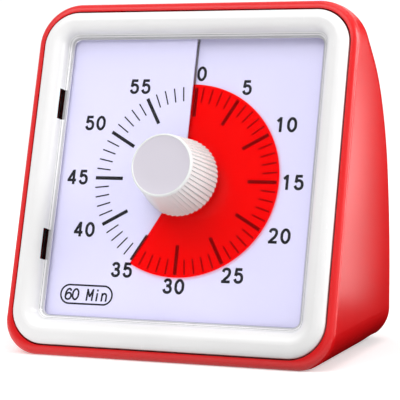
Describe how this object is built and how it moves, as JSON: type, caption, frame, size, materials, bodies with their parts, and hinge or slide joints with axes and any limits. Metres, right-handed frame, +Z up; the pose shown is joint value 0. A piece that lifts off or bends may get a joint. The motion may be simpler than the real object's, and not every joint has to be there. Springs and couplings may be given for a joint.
{
  "type": "visual countdown timer",
  "caption": "Desk countdown timer: red wedge housing, white soft-edged bezel, slit dial card, translucent red disc that shows the time left, ribbed knob, battery door and volume slider.",
  "frame": {"origin": "under the middle of the object, on the surface it stands on", "axes": "+Z up, the dial faces -Y, +X to the viewer's right"},
  "size_m": [0.09, 0.0654, 0.0919],
  "materials": {
    "red_plastic": "satin moulded",
    "white_plastic": "soft satin moulded",
    "clear_plastic": "clear polished",
    "lavender_card": "printed matt sheet",
    "white_moulding": "moulded",
    "red_film": "translucent film",
    "hub_nylon": "moulded",
    "shaft_steel": "turned",
    "knob_white": "satin moulded",
    "spring_steel": "stamped",
    "contact_brass": "stamped",
    "case_black": "spark-eroded",
    "wheel_brass": "stamped",
    "wheel_nylon": "moulded",
    "magnet": "ground",
    "stator_steel": "stamped",
    "bobbin_nylon": "moulded",
    "copper_wire": "enamelled",
    "board_green": "solder mask",
    "chip_resin": "potted",
    "can_tin": "drawn",
    "capacitor_sleeve": "shrunk sleeve",
    "buzzer_black": "moulded",
    "cell_jacket": "printed jacket",
    "contact_nickel": "nickel plated",
    "switch_steel": "plated can",
    "slider_black": "moulded",
    "screw_steel": "zinc plated",
    "lead_red": "insulated",
    "lead_black": "insulated"
  },
  "bodies": {
    "housing": {"rear_housing": "red_plastic", "front_frame": "white_plastic", "lens": "clear_plastic", "dial_card": "lavender_card", "dial_tray": "white_moulding", "zero_contact": "contact_brass", "movement_case_front": "case_black", "movement_case_back": "case_black", "stator": "stator_steel", "coil_core": "stator_steel", "coil_bobbin": "bobbin_nylon", "coil_winding": "copper_wire", "circuit_board": "board_green", "controller_chip": "chip_resin", "crystal_can": "can_tin", "capacitor": "capacitor_sleeve", "buzzer": "buzzer_black", "battery": "cell_jacket", "battery_contact_plate": "contact_nickel", "battery_contact_spring": "contact_nickel", "volume_switch_body": "switch_steel", "housing_screws": "screw_steel", "movement_screws": "screw_steel", "board_screws": "screw_steel", "battery_lead_red": "lead_red", "battery_lead_black": "lead_black"},
    "knob": {"knob": "knob_white", "knob_shaft": "shaft_steel", "clutch_spring": "spring_steel", "zero_cam": "hub_nylon"},
    "disc": {"red_disc": "red_film", "disc_hub": "hub_nylon"},
    "rotor": {"rotor_pinion": "wheel_nylon", "rotor_magnet": "magnet"},
    "fifth": {"fifth_wheel": "wheel_nylon"},
    "fourth": {"fourth_wheel": "wheel_nylon"},
    "third": {"third_wheel": "wheel_brass"},
    "centre": {"center_wheel": "wheel_brass"},
    "door": {"battery_door": "red_plastic"},
    "slider": {"volume_slider": "slider_black"}
  },
  "joints": [
    {"name": "knob_turn", "type": "hinge", "parent": "housing", "child": "knob", "pos_m": [0, -0.01853, 0.04674], "axis": [0, 0.9598, -0.2807], "range_deg": [-210, 150]},
    {"name": "disc_lift", "type": "slide", "parent": "knob", "child": "disc", "axis": [0, -0.9598, 0.2807], "range_m": [-0.00083, 0.0006]},
    {"name": "rotor_turn", "type": "hinge", "parent": "housing", "child": "rotor", "pos_m": [0.01819, -0.00602, 0.03608], "axis": [0, 0.9598, -0.2807], "continuous": true},
    {"name": "fifth_turn", "type": "hinge", "parent": "housing", "child": "fifth", "pos_m": [0.01166, -0.00785, 0.02981], "axis": [0, 0.9598, -0.2807], "continuous": true},
    {"name": "fourth_turn", "type": "hinge", "parent": "housing", "child": "fourth", "pos_m": [0.00151, -0.00889, 0.02627], "axis": [0, 0.9598, -0.2807], "continuous": true},
    {"name": "third_turn", "type": "hinge", "parent": "housing", "child": "third", "pos_m": [-0.01202, -0.00751, 0.031], "axis": [0, 0.9598, -0.2807], "continuous": true},
    {"name": "centre_turn", "type": "hinge", "parent": "housing", "child": "centre", "pos_m": [0, -0.00413, 0.04253], "axis": [0, 0.9598, -0.2807], "continuous": true},
    {"name": "door_hinge", "type": "hinge", "parent": "housing", "child": "door", "pos_m": [0, 0.03166, 0.0103], "axis": [-1, 0, 0], "range_deg": [0, 85]},
    {"name": "volume_slide", "type": "slide", "parent": "housing", "child": "slider", "axis": [1, 0, 0], "range_m": [0, 0.004]}
  ],
  "couplings": [
    {"joint": "disc_lift", "follows": "knob_turn", "m_per_rad": 0.00022282},
    {"joint": "fifth_turn", "follows": "rotor_turn", "ratio": -0.16667},
    {"joint": "fourth_turn", "follows": "rotor_turn", "ratio": 0.033333},
    {"joint": "third_turn", "follows": "rotor_turn", "ratio": -0.0041667},
    {"joint": "centre_turn", "follows": "rotor_turn", "ratio": 0.00055556}
  ]
}
